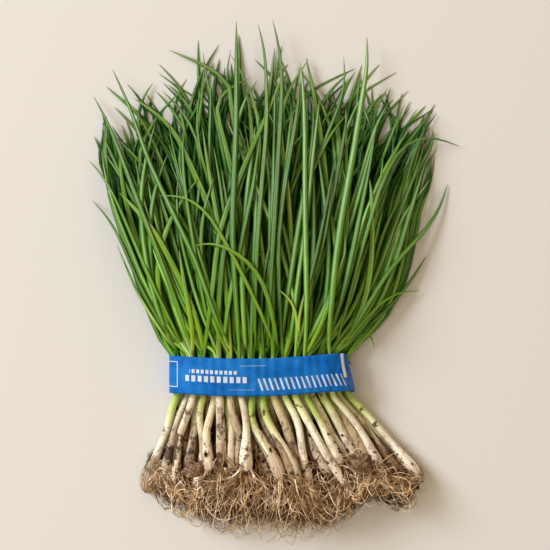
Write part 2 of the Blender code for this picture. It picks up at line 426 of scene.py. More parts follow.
def leafRoutes():
    along = np.arange(leafBlade["from"], leafBlade["to"], bunch["slice"])
    leaves = []
    for n, onion in enumerate(onions):
        turn = dice.uniform(0, 6.28)
        for leaf in range(dice.choice(leafBlade["each"])):
            leaves.append(leafPlan(n, onion, turn, leaf))
    x, z, reach, wantZ = (np.zeros((len(along), len(leaves))) for _ in range(4))
    held = np.zeros(x.shape, bool)
    for n, leaf in enumerate(leaves):
        whose = leaf["onion"]
        up = np.clip((along - along[0]) / 0.26, 0, 1)
        startX = np.interp(along, stemAlong, stemX[:, whose])
        startZ = np.interp(along, stemAlong, stemZ[:, whose])
        x[:, n] = leafCourse(along, leaf, onions[whose], startX[0])
        wantZ[:, n] = (startZ[0] + leaf["offset"][1]) * (1 - 0.7 * up**1.5)
        wantZ[:, n] += leaf["lift"] * np.sin(np.clip(along / leaf["end"], 0, 1) * math.pi)
        inBand = along < 0.019
        x[inBand, n] = startX[inBand] + leaf["offset"][0]
        wantZ[inBand, n] = startZ[inBand] + leaf["offset"][1]
        held[inBand, n] = True
        z[:, n] = wantZ[:, n] + dice.gauss(0, 0.003) * up
        grown = np.clip((along - 0.018) / 0.045, 0, 1)
        tip = np.clip((leaf["end"] - along) / 0.15, 0, 1) ** 0.7
        loose = np.interp(along, (0.04, 0.13), leafBlade["room"])
        room = leaf["radius"] * loose * (0.4 + 0.6 * grown) * tip
        reach[:, n] = np.where(along < leaf["end"], room, 0)
    rounds, plain = settling["leaves"]
    sag = np.array([settling["liftedLeaf"] if leaf["lift"] else plain for leaf in leaves])
    walls = (fanPlace(-0.96, along)[:, None], fanPlace(1.01, along)[:, None])
    z /= leafBlade["flatness"]  # the blades are flatter than they are wide, so the heap is settled stretched
    settle(x, z, reach, x.copy(), wantZ / leafBlade["flatness"], held, rounds, sag, walls)
    z *= leafBlade["flatness"]
    for n, leaf in enumerate(leaves):
        limit = tipLimit(along, x[:, n] - bandMiddle.x)
        if limit < leaf["end"]:  # a leaf that ends sooner turns aside at its new tip
            leaf["end"] = limit
            tip = np.clip((along - limit + leaf["tipLength"]) / leaf["tipLength"], 0, 1)
            tipX = np.interp(limit, along, x[:, n])
            widest = 0.88 + 0.12 * leaf["tint"]
            bend = np.clip(leaf["tipBend"], fanPlace(-widest, limit) - tipX, fanPlace(widest, limit) - tipX)
            x[:, n] += np.clip(bend, -0.024, 0.024) * tip**2
        places = np.append(along[along < leaf["end"] - 0.002], leaf["end"])
        leaf["points"] = routePoints(places, n, along, x, z)
    return leaves


def modelTube(name, sides, outline):
    # a tube along x, 1 long and 1 in radius at its widest, drawn out ring by ring from a short cylinder
    (start, startWidth), (first, firstWidth) = outline[:2]
    pickNone()
    bpy.ops.mesh.primitive_cylinder_add(
        vertices=sides, radius=startWidth, depth=first - start,
        location=((first + start) / 2, 0, 0), rotation=(0, math.pi / 2, 0), end_fill_type="NGON",
    )
    tube = bpy.context.active_object
    tube.name = name
    bpy.ops.object.transform_apply(location=True, rotation=True, scale=True)
    startEdit(tube)
    pickFaces(tube, lambda face: face.normal.x > 0.9)
    bpy.ops.transform.resize(value=(1, firstWidth / startWidth, firstWidth / startWidth))
    place, width = first, firstWidth
    for nextPlace, nextWidth in outline[2:]:
        bpy.ops.mesh.extrude_region_move(TRANSFORM_OT_translate={"value": (nextPlace - place, 0, 0)})
        bpy.ops.transform.resize(value=(1, nextWidth / width, nextWidth / width))
        place, width = nextPlace, nextWidth
    bpy.ops.mesh.poke()
    pickFaces(tube, lambda face: face.normal.x < -0.9)
    bpy.ops.mesh.poke()
    endEdit()
    return tube


def newCurve(name):
    line = bpy.data.curves.new(name, "CURVE")
    line.dimensions = "3D"
    line.use_radius = True
    return line


def addStrand(line, points, thickness):
    spline = line.splines.new("POLY")
    spline.points.add(len(points) - 1)
    flat = np.ones((len(points), 4), np.float32)
    flat[:, :3] = points
    spline.points.foreach_set("co", flat.ravel())
    spline.points.foreach_set("radius", np.array(thickness, np.float32))


def reachedAt(points):  # how far along a route each of its points lies
    return np.append(0, np.cumsum(np.linalg.norm(np.diff(points, axis=0), axis=1)))


def layAlong(blank, points, width, height, growth, tint, name, thickness=None, dirtAndShade=None):
    # a copy of a blank with its own mesh, bent along a route; "grain" and "mood" tell its finish where it is
    length = reachedAt(points)[-1]
    piece = newPiece(name, blank.data.copy())
    flat = meshPoints(piece)
    around = np.hypot(flat[:, 1], flat[:, 2]) + 1e-6
    label(piece, "grain", np.column_stack((flat[:, 0] * length, flat[:, 1] / around, flat[:, 2] / around)))
    grown = growth[0] + flat[:, 0] * (growth[1] - growth[0])
    third = flat[:, 0] if dirtAndShade is None else np.full(len(flat), dirtAndShade)
    label(piece, "mood", np.column_stack((grown, np.full(len(flat), tint), third)))
    piece.data.transform(Matrix.Diagonal((length, width, height, 1)))
    guide = newPiece("guide", newCurve("guide"))
    guide.data.twist_mode = "Z_UP"
    addStrand(guide.data, points, np.ones(len(points)) if thickness is None else thickness)
    bend = piece.modifiers.new("bend", "CURVE")
    bend.object = guide
    bend.deform_axis = "POS_X"
    finishModifier(piece, bend)
    bpy.data.curves.remove(guide.data)
    return piece


def resample(points, places):
    return np.column_stack([np.interp(places, reachedAt(points), column) for column in points.T])


def smoothThrough(points, step, rounds):  # a smooth route through a few points
    points = np.array(points, float)
    length = reachedAt(points)[-1]
    route = resample(points, np.linspace(0, length, max(6, int(length / step))))
    for _ in range(rounds):
        route[1:-1] += (route[:-2] + route[2:] - 2 * route[1:-1]) * 0.3
    return route


def makeLeaves(leaves, blank):
    made = {n: [] for n in range(len(onions))}
    for leaf in leaves:
        onion = onions[leaf["onion"]]
        points = leaf["points"]
        growth = (growthAt(leafBlade["from"]) + onion["growthShift"] * 0.9, growthAt(leaf["end"]))
        width = leaf["radius"] * 1.1
        piece = layAlong(blank, points, width, width * leafBlade["flatness"], growth, leaf["tint"], "leaf")
        made[leaf["onion"]].append(piece)
    return made


# leaves that stray over the top of the others, as (sideways, along) in mm from the band's middle
strays = {
    "clear": 0.021,  # up to here they lie as low as the band holds them
    "press": 0.4,  # share of its half thickness that a leaf stands off what it lies on
    "slimmer": 0.92,  # their width against the half width below
    "ceiling": 0.0475,
    "leaves": (
        # route, half width, tint: 0 pale, 0.09 yellow-green, 0.4 plain, 1 bluish
        (((-43, 16), (-49, 41), (-63, 72), (-84, 113), (-100, 132), (-116, 147)), 0.0026, 0.1),
        (((-48, 16), (-53, 40), (-61, 68), (-66, 100)), 0.0022, 0.12),
        (((-46, 16), (-41, 54), (-34, 118), (-10, 178), (6, 214), (18, 246)), 0.0024, 0.3),
        (((-34, 16), (-28, 54), (-15, 115), (-8, 146), (-2, 190)), 0.0021, 0.55),
        (((6, 16), (8, 74), (12, 126), (18, 160), (23, 208)), 0.0024, 0.35),
        (((22, 16), (28, 74), (33, 105), (37, 140), (42, 190), (46, 222)), 0.0022, 0.85),
        (((46, 16), (52, 50), (62, 120), (72, 172), (80, 222), (85, 250), (84, 272)), 0.003, 0.95),
        (((9, 16), (8, 100), (9, 180), (10, 228)), 0.0021, 0.7),
        (((14, 16), (12, 110), (18, 155), (28, 210), (30, 236)), 0.0023, 0.42),
        (((36, 16), (34, 132), (34, 196), (33, 228), (30, 252)), 0.0024, 0.98),
        (((56, 16), (76, 90), (94, 152), (108, 180), (124, 192), (143, 191), (160, 184)), 0.0017, 0.5),
        (((66, 17), (82, 52), (104, 88), (121, 105), (136, 121), (146, 138), (150, 154)), 0.002, 0.5),
        (((69, 16), (83, 34), (98, 50), (110, 62), (122, 78), (133, 96)), 0.0015, 0.45),
        (((68, 20), (90, 55), (108, 67), (119, 69), (128, 67)), 0.0011, 0.3),
        (((69, 18), (84, 35), (92, 39), (98, 31), (103, 21)), 0.001, 0.5),
        (((69, 16), (75, 21), (81, 17), (85, 7)), 0.001, 0.45),
        (((-70, 17), (-88, 45), (-101, 65), (-118, 105)), 0.0012, 0),
        (((-68, 17), (-98, 70), (-113, 108), (-125, 128), (-139, 141)), 0.0014, 0.45),
        (((-60, 17), (-90, 78), (-117, 140), (-128, 161), (-141, 173)), 0.0017, 0.6),
        (((-52, 17), (-79, 88), (-106, 156), (-125, 204), (-137, 225)), 0.0021, 0.5),
        (((-30, 17), (-52, 90), (-90, 168), (-108, 218), (-121, 246)), 0.0022, 0.75),
        (((-18, 17), (-24, 110), (-21, 200), (-21, 252), (-21, 284)), 0.0027, 0.7),
        (((-8, 17), (-4, 110), (4, 206), (2, 262), (-4, 283)), 0.0021, 0.5),
        (((3, 17), (10, 130), (16, 232), (14, 262), (8, 286)), 0.0022, 0.45),
        (((12, 15), (0, 48), (-19, 87), (-37, 120), (-49, 136), (-60, 142.5), (-72, 144.5),
         (-83, 143)), 0.0016, 0.13),
        (((13, 15), (11, 34), (5, 64), (-5, 86), (-19, 97), (-30, 103), (-39, 107), (-47, 107),
         (-54, 103)), 0.0019, 0.17),
        (((27, 16), (29, 40), (27, 57), (21, 66), (12, 69)), 0.0014, 0.03),
        (((30, 16), (28, 46), (33, 64)), 0.0013, 0.03),
    ),
    "extra": 84,  # further leaves laid over the top by chance
}


heapGrid = {"cell": 0.002, "columns": 190, "rows": 240, "left": 0.19, "low": 0.16}


def heapOf(leaves):  # the height of the heap of leaves over a grid of small cells
    heap = np.zeros((heapGrid["columns"], heapGrid["rows"]))
    for leaf in leaves:
        stamp(heap, leaf["points"], leaf["radius"])
    return heap


def cellOf(x, y):
    column = ((x + heapGrid["left"]) / heapGrid["cell"]).astype(int)
    row = ((y - bandMiddle.y + heapGrid["low"]) / heapGrid["cell"]).astype(int)
    return np.clip(column, 0, heapGrid["columns"] - 1), np.clip(row, 0, heapGrid["rows"] - 1)


def stamp(heap, points, radius):
    fine = smoothThrough(points, 0.0015, 0)
    for across in (-0.8, -0.3, 0.3, 0.8):
        height = fine[:, 2] + radius * leafBlade["flatness"] * math.sqrt(1 - across**2)
        np.maximum.at(heap, cellOf(fine[:, 0] + radius * across, fine[:, 1]), height)


def layOnTop(heap, x, y, radius, startZ, tipFall):
    # drapes a leaf over the heap: it rests on what is below and spans the gaps like a taut strip
    under = np.zeros(len(x))
    for across in (-0.7, 0, 0.7):
        under = np.maximum(under, heap[cellOf(x + radius * across, y)])
    under += radius * leafBlade["flatness"] * strays["press"]
    under = np.minimum(under, strays["ceiling"] - radius)
    rest = np.linspace(0, 1, len(x))
    inBand = y - bandMiddle.y < strays["clear"]
    under[inBand] = startZ
    z = np.maximum(under, startZ * (1 - rest * tipFall))
    for _ in range(120):
        z[1:-1] = np.maximum(under[1:-1], (z[:-2] + z[2:]) / 2 - 0.00003)
        z[inBand] = startZ
    for _ in range(6):
        z[1:-1] = (z[:-2] + z[2:] + 2 * z[1:-1]) / 4
        z[inBand] = startZ
    return z


def strayOwner(x, taken):  # the upper onion nearest to where the leaf comes out of the band
    best = min(
        (n for n, onion in enumerate(onions) if onion["layer"] >= 3 or abs(onion["side"]) > 0.78),
        key=lambda n: abs(onions[n]["middles"][-1][0] - x) + 0.004 * taken.get(n, 0),
    )
    taken[best] = taken.get(best, 0) + 1
    return best


def chanceStray():
    side = dice.uniform(-0.93, 0.93)
    start = bandMiddle.x + bandHalfWidth * side * 0.96
    end = dice.triangular(0.07, 0.265, 0.22)
    places = np.linspace(0.017, end, 9)
    lean = dice.gauss(0, 0.26)
    curl = dice.gauss(0, 0.012 if end < 0.17 else 0.006)
    share = (places - 0.017) / (end - 0.017)
    sides = np.clip(side + lean * share ** dice.uniform(0.8, 1.8), -1.02, 1.02)
    x = fanPlace(sides, places) - bandMiddle.x + (start - fanPlace(side, 0.017)) * (1 - share) ** 3
    x += dice.gauss(0, 0.006) * np.sin(share * math.pi)
    x[-3:] += curl * np.array((0.12, 0.45, 1))
    end = min(end, tipLimit(places, x))
    kept = places < end
    return (np.column_stack((x, places))[kept], dice.uniform(0.0014, 0.0028), dice.uniform(0.09, 1))


def strayRoutes(leaves):
    heap = heapOf(leaves)
    taken = {}
    plans = [chanceStray() for _ in range(strays["extra"])]
    plans += [(np.array(route) / 1000, radius, tint) for route, radius, tint in strays["leaves"]]
    laid = []
    for route, radius, tint in plans:
        radius *= strays["slimmer"]
        flat = smoothThrough(route, 0.004, 12)
        whose = strayOwner(flat[0, 0] + bandMiddle.x, taken)
        startX, _, startZ = onions[whose]["middles"][-1]
        startX += dice.uniform(-0.0012, 0.0012)
        inBand = np.array([(startX - bandMiddle.x, along) for along in (0.002, 0.007, 0.012)])
        flat[:, 0] += (inBand[0, 0] - flat[0, 0]) * np.exp(-(flat[:, 1] - flat[0, 1]) / 0.022)
        flat = np.vstack((inBand, flat))
        x, y = flat[:, 0] + bandMiddle.x, flat[:, 1] + bandMiddle.y
        z = layOnTop(heap, x, y, radius, startZ + 0.0006, 0.75 if abs(flat[-1, 0]) > 0.125 else 0.35)
        points = np.column_stack((leanIn(x, flat[:, 1]), y, z))
        stamp(heap, points, radius)
        end = float(flat[-1, 1])
        laid.append({"onion": whose, "points": points, "radius": radius, "tint": tint, "end": end})
    return laid


skinSleeve = {
    "share": 0.18,  # of the onions, how many keep a loose skin
    "length": (0.02, 0.046),
    "sides": 12,
    "rings": (0, 0.16, 0.34, 0.52, 0.68, 0.82, 0.92, 1),
    "looseness": 1.06,
    "thickness": 0.00022,
}


def stemOutline(onion, length):  # (metres from the basal plate, radius)
    bulb, stem, fork = onion["bulb"], onion["radius"], length
    return (
        (0, 0.002), (0.0015, 0.0032), (0.004, bulb * 0.8), (0.009, bulb), (0.014, bulb * 0.95),
        (0.021, bulb * 0.62 + stem * 0.38), (0.03, bulb * 0.2 + stem * 0.8), (0.042, stem * 0.98),
        (0.056, stem), (0.07, stem * 0.99), (fork - 0.034, stem), (fork - 0.022, stem * 0.96),
        (fork - 0.013, stem * 0.82), (fork - 0.006, stem * 0.55), (fork, stem * 0.18),
    )


def stemRadius(onion, fromBase):
    places, radii = zip(*sorted(stemOutline(onion, 0.12)))
    return np.interp(fromBase, places, radii)


def stemPoints(n, start, end):
    inner = stemAlong[(stemAlong > start + 0.002) & (stemAlong < end - 0.002)]
    places = np.concatenate(((start,), inner, (end,)))
    return routePoints(places, n, stemAlong, stemX, stemZ)


def makeStem(n, onion):
    points = stemPoints(n, onion["base"], onion["fork"])
    length = reachedAt(points)[-1]
    outline = [(place / length, radius) for place, radius in sorted(stemOutline(onion, length))]
    blank = modelTube("stem", stemShape["sides"], outline)
    rounder = blank.modifiers.new("rounder", "SUBSURF")
    rounder.levels = rounder.render_levels = 1
    finishModifier(blank, rounder)
    shift = onion["growthShift"]
    growth = (growthAt(onion["base"]) + shift, growthAt(onion["fork"]) + shift)
    stem = layAlong(blank, points, 1, 1, growth, onion["tint"], "stem", dirtAndShade=onion["dirtAndShade"])
    bpy.data.meshes.remove(blank.data)
    return stem


def modelSleeve():
    # a thin sleeve along x, 1 long and 1 in radius, slit along one side; makeSleeve tears its upper end
    pickNone()
    bpy.ops.mesh.primitive_circle_add(
        vertices=skinSleeve["sides"], radius=1, fill_type="NOTHING", rotation=(0, math.pi / 2, 0),
    )
    sleeve = bpy.context.active_object
    sleeve.name = "sleeveBlank"
    bpy.ops.object.transform_apply(location=True, rotation=True, scale=True)
    startEdit(sleeve)
    rings = skinSleeve["rings"]
    for low, high in zip(rings, rings[1:]):
        bpy.ops.mesh.extrude_region_move(TRANSFORM_OT_translate={"value": (high - low, 0, 0)})
    pickFaces(sleeve, lambda face: math.atan2(face.calc_center_median().y, face.calc_center_median().z) > 2.2)
    bpy.ops.mesh.delete(type="FACE")
    bpy.ops.mesh.select_all(action="SELECT")
    bpy.ops.mesh.normals_make_consistent(inside=False)
    endEdit()
    return sleeve


def makeSleeve(n, onion, blank):
    length = dice.uniform(*skinSleeve["length"])
    start = onion["base"] + 0.0022
    points = stemPoints(n, start, start + length)
    around = stemRadius(onion, points[:, 1] - bandMiddle.y - onion["base"])
    around = around * skinSleeve["looseness"] * np.linspace(1, 1.1, len(points))
    turned = bpy.data.objects.new("turned", blank.data.copy())
    turned.data.transform(Matrix.Rotation(dice.uniform(0, 6.28), 4, "X"))
    flat = meshPoints(turned)
    torn = np.array([noise.noise(Vector((y * 1.7, z * 1.7, onion["tint"] * 40))) for _, y, z in flat])
    flat[:, 0] += torn * 0.8 * flat[:, 0] ** 2
    flat[:, 1:] *= 1 + 0.05 * torn[:, None]
    movePoints(turned, flat)
    growth = (growthAt(start), growthAt(start + length))
    sleeve = layAlong(turned, points, 1, 1, growth, dice.random(), "sleeve", around)
    bpy.data.meshes.remove(turned.data)
    shell = sleeve.modifiers.new("shell", "SOLIDIFY")
    shell.thickness = skinSleeve["thickness"]
    shell.offset = 1
    finishModifier(sleeve, shell)
    return sleeve


rootHair = {
    "each": 96,
    "length": (0.014, 0.052, 0.028),  # least, most, usual
    "steps": 9,
    "thickness": 0.00042,
    "thick": (0.45, 1.7, 0.7),  # least, most, usual, against the thickness
    "taper": 0.72,  # share of its thickness that a root loses
    "tangle": 0.46,
    "fineness": 55,  # bends in a metre
    "streamers": 0.1,  # share of the roots that run long and nearly straight
    "sides": (-0.091, 0.12),  # of the whole root mat, from the band's middle
    "lowest": (  # (sideways, along) in mm, of the mat's lower edge
        (-92, -73), (-80, -90), (-70, -100), (-46, -113), (-10, -122), (46, -120), (60, -112), (74, -99),
        (86, -90), (98, -92), (110, -102), (122, -101),
    ),
    "ceiling": 0.034,
    "soilShadeCore": (0.005, 0.007, 0.0036),  # half sizes of the dark lump of soil in a tuft, which also stands in for the shade among its roots
}

soil = {
    "crumbs": 620,
    "crumbSize": (0.00035, 0.0018),
    "lumpRoughness": 0.42,
    "lumpsEach": 9,
}


def lowestRoot(side):
    across, places = np.array(rootHair["lowest"]).T / 1000
    return float(np.interp(side, across, places))


def past(distance):  # 0 up to a limit, then rising to 1 over the next 12 mm
    return min(1, max(0, distance / 0.012))


def rootRoute(start, heading, length, tangle):
    points = [Vector((start.x, start.y, max(start.z, 0.0006)))]
    heading = heading.normalized()
    swirl = Vector((dice.uniform(0, 9), 0, 0))
    left, right = (bandMiddle.x + side for side in rootHair["sides"])
    slack = dice.triangular(-0.004, 0.014, 0.001) - (0.01 if tangle < rootHair["tangle"] else 0)
    for _ in range(rootHair["steps"]):
        last = points[-1]
        curl = noise.noise_vector(last * rootHair["fineness"] + swirl)
        heading = heading + curl * tangle + Vector((0, 0, -0.05))
        heading.x += past(left + 0.008 - last.x) - past(last.x - right + 0.008)
        lowest = lowestRoot(last.x - bandMiddle.x) + bandMiddle.y + slack
        heading.y += past(lowest + 0.008 - last.y) * 1.3 - past(last.y - start.y - 0.001) * 0.9
        heading.z -= past(last.z - rootHair["ceiling"]) * 1.5
        heading.normalize()
        if last.z + heading.z * length / rootHair["steps"] < 0.0006:  # it turns to run along the table
            heading.z = 0
            heading.y -= 0.1
            heading.normalize()
        points.append(last + heading * (length / rootHair["steps"]))
    return points


def makeRoots(base, direction, bulb):
    line = newCurve("roots")
    line.bevel_depth = rootHair["thickness"]
    line.bevel_resolution = 0
    line.resolution_u = 1
    across = direction.orthogonal().normalized()
    other = direction.cross(across)
    moods = []
    for _ in range(rootHair["each"]):
        around = dice.uniform(0, 6.283)
        spread = dice.triangular(0.05, 2.2, 0.5)
        outwards = across * math.cos(around) + other * math.sin(around)
        start = base + outwards * dice.uniform(0.0006, 0.003) - direction * dice.uniform(0, 0.002)
        if dice.random() < 0.18:  # some start higher, on the bulb's side
            start = base + outwards * bulb * 0.94 - direction * dice.uniform(0.004, 0.011)
        length = dice.triangular(*rootHair["length"]) * (1.1 - 0.12 * spread)
        tangle = rootHair["tangle"]
        if dice.random() < rootHair["streamers"]:
            length, tangle = length + 0.02, tangle * 0.45
        points = rootRoute(start, direction + outwards * spread, length, tangle)
        thick = dice.triangular(*rootHair["thick"])
        tint = dice.random()
        reached = np.arange(len(points)) / rootHair["steps"]
        addStrand(line, points, thick * (1 - rootHair["taper"] * reached))
        moods += [(share, tint, 0) for share in reached]
    pick(newPiece("roots", line))
    bpy.ops.object.convert(target="MESH")
    piece = bpy.context.active_object
    corners = len(piece.data.vertices) // len(moods)
    label(piece, "mood", np.repeat(np.array(moods), corners, axis=0))
    startEdit(piece)
    bpy.ops.mesh.fill_holes(sides=corners)
    endEdit()
    return piece


def modelLump(name, size, place, roughness, detail, seed):
    # a lump of soil: a ball of triangles pushed in and out
    pickNone()
    bpy.ops.mesh.primitive_ico_sphere_add(subdivisions=detail, radius=1)
    lump = bpy.context.active_object
    lump.name = name
    points = meshPoints(lump)
    shift = Vector((seed * 7.3, seed * 3.1, 0))
    for n, point in enumerate(points):
        spot = Vector(point)
        push = noise.noise(spot * 1.3 + shift) + 0.5 * noise.noise(spot * 3.1 + shift)
        push += 0.28 * noise.noise(spot * 7.5 + shift)
        points[n] = spot * (1 + roughness * push)
    points = points * np.array(size) + np.array(place)
    points[:, 2] = np.maximum(points[:, 2], 0.0003)
    movePoints(lump, points)
    return lump


def makeClod(node):  # several lumps stuck together in the place of one plain clod
    low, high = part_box(node)
    half = (high - low) / 2
    middle = (low + high) / 2
    lumps = []
    for n in range(soil["lumpsEach"]):
        size = half * dice.uniform(0.3, 0.75) if n else half * 0.8
        away = Vector([dice.uniform(-1, 1) * (half[k] - size[k]) for k in range(3)])
        lumps.append(modelLump("lump", size, middle + away, soil["lumpRoughness"], 3, dice.random() * 9))
    clod = joined(lumps)
    clod.name = node.replace("soil_", "")
    return clod


def makeCrumbs():
    # crumbs of soil that cling to the upper side of the bulbs and to the roots
    blanks = [modelLump("crumb", (1, 1, 1), (0, 0, 0), 0.5, 1, seed) for seed in range(6)]
    crumbs = []
    for _ in range(soil["crumbs"]):
        n = dice.randrange(len(onions))
        onion = onions[n]
        size = dice.uniform(*soil["crumbSize"]) * dice.choice((0.7, 1, 1, 1.6))
        fromBase = dice.triangular(-0.016, 0.045, 0)
        side = onion["middles"][0][0] - bandMiddle.x
        along = max(onion["base"] + fromBase, lowestRoot(side) + 0.01)
        around = math.radians(dice.uniform(5, 175))
        away = stemRadius(onion, fromBase) if fromBase > 0 else dice.uniform(0.001, 0.008)
        away += size * 0.2
        clamped = max(along, onion["base"])
        x = np.interp(clamped, stemAlong, stemX[:, n]) + math.cos(around) * away
        z = np.interp(clamped, stemAlong, stemZ[:, n]) + math.sin(around) * away
        crumb = newPiece("crumb", dice.choice(blanks).data.copy())
        angle = dice.uniform(0, 6.28)
        turn = Matrix.Rotation(angle, 4, Vector((dice.random(), dice.random(), 1)).normalized())
        stretch = Matrix.Diagonal((size, size * dice.uniform(0.6, 1), size * dice.uniform(0.5, 0.9), 1))
        crumb.data.transform(Matrix.Translation((x, along + bandMiddle.y, max(z, size))) @ turn @ stretch)
        crumbs.append(crumb)
    whole = joined(crumbs)
    whole.name = "soilCrumbs"
    for blank in blanks:
        bpy.data.meshes.remove(blank.data)
    return whole


paperBand = {
    "steps": 260,
    "rows": 18,
    "overlap": 0.016,
    "thickness": 0.00024,
    "lift": 0.0003,
    "ridge": 0.0003,  # how much the stems show through the paper
    "ridgeWidth": 0.0086,
    "endPlace": 0.0695,  # where the outer end of the strip lies, from the band's middle
    "sag": (-0.00135, 0.0021, 0.0043),  # how far the upper side strays: everywhere, by side, by side squared
    "creases": (  # (place along the band, slant, depth)
        (0.061, 0.35, 0.0009), (0.052, -0.5, 0.0004), (-0.066, 0.25, 0.0005), (0.018, 0.8, 0.00025),
        (-0.03, -0.9, 0.00025),
    ),
}


def bandRing():
    # the band's outer outline seen along the bunch, from the strip's outer end over the top to the left
    points = meshPoints(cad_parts["paper_band"])
    hull = geometry.convex_hull_2d([Vector((point[0], point[2])) for point in points])
    ring = points[hull][:, (0, 2)].astype(float)
    ring = np.vstack((ring, ring[:1]))
    if np.sum(ring[:-1, 0] * ring[1:, 1] - ring[1:, 0] * ring[:-1, 1]) < 0:
        ring = ring[::-1]
    around = reachedAt(ring)[-1]
    fine = resample(ring, np.linspace(0, around, 720, endpoint=False))
    for _ in range(10):
        fine = (np.roll(fine, 1, axis=0) + fine + np.roll(fine, -1, axis=0)) / 3
    upper = np.where(fine[:, 1] > bandMiddle.z, 0, 1)
    first = np.argmin(abs(fine[:, 0] - bandMiddle.x - paperBand["endPlace"]) + upper)
    return np.roll(fine, -first, axis=0), around


def bandBumps(place, across):  # how far the paper stands off its smooth outline
    stems = np.sin(place / paperBand["ridgeWidth"] * 2 * math.pi + 1.1 * np.sin(place * 160))
    bumps = paperBand["ridge"] * stems - 0.0004 * across**4
    for middle, slant, depth in paperBand["creases"]:
        away = place - middle - slant * across * bandHalfStrip
        bumps -= depth * np.exp(-((away / 0.0016) ** 2))
        bumps += 0.4 * depth * np.exp(-(((away - 0.004) / 0.003) ** 2))
    return bumps


def makeBand():
    ring, around = bandRing()
    pickNone()
    steps, rows = paperBand["steps"], paperBand["rows"]
    bpy.ops.mesh.primitive_grid_add(x_subdivisions=steps, y_subdivisions=rows, size=2)
    strip = bpy.context.active_object
    strip.name = "paperBand"
    flat = meshPoints(strip).astype(float)
    place = (flat[:, 0] + 1) / 2 * (around + paperBand["overlap"])  # from the strip's outer end
    across = flat[:, 1]
    reached = np.arange(len(ring) + 1) * around / len(ring)
    closed = np.vstack((ring, ring[:1]))
    x, z = (np.interp(place % around, reached, column) for column in closed.T)
    tangent = np.roll(closed[:-1], -1, axis=0) - np.roll(closed[:-1], 1, axis=0)
    tangent /= np.linalg.norm(tangent, axis=1)[:, None]
    tangent = np.vstack((tangent, tangent[:1]))
    outX = np.interp(place % around, reached, tangent[:, 1])
    outZ = -np.interp(place % around, reached, tangent[:, 0])
    topMiddle = np.interp(-bandMiddle.x, -closed[:200, 0], reached[:200])
    fromTop = topMiddle - place
    fromTop = np.where(fromTop < -around / 2, fromTop + around, fromTop)
    upper = np.clip(z / bandHigh.z, 0, 1) ** 1.5
    outerLap = np.clip(1 - (place - paperBand["overlap"]) / 0.01, 0, 1)
    loose = 0.0008 * outerLap * (place < around)
    loose += 0.0005 * np.clip(1 - place / 0.006, 0, 1)
    off = paperBand["lift"] + loose + bandBumps(fromTop, across) * upper
    side = (x - bandMiddle.x) / bandHalfWidth
    everywhere, bySide, bySquare = paperBand["sag"]
    y = bandMiddle.y + across * bandHalfStrip
    y += (everywhere + bySide * side + bySquare * side**2) * upper
    x = leanIn(x + outX * off, y - bandMiddle.y)
    z = np.maximum(z + outZ * off, 0.0002)
    movePoints(strip, np.column_stack((x, y, z)))
    label(strip, "paper", np.column_stack((fromTop, across * bandHalfStrip, place)))
    startEdit(strip)
    middleFace = max(bmesh.from_edit_mesh(strip.data).faces, key=lambda face: face.calc_center_median().z)
    if middleFace.normal.z < 0:
        bpy.ops.mesh.flip_normals()
    endEdit()
    wall = strip.modifiers.new("wall", "SOLIDIFY")
    wall.thickness = paperBand["thickness"]
    wall.offset = -1
    finishModifier(strip, wall)
    return strip


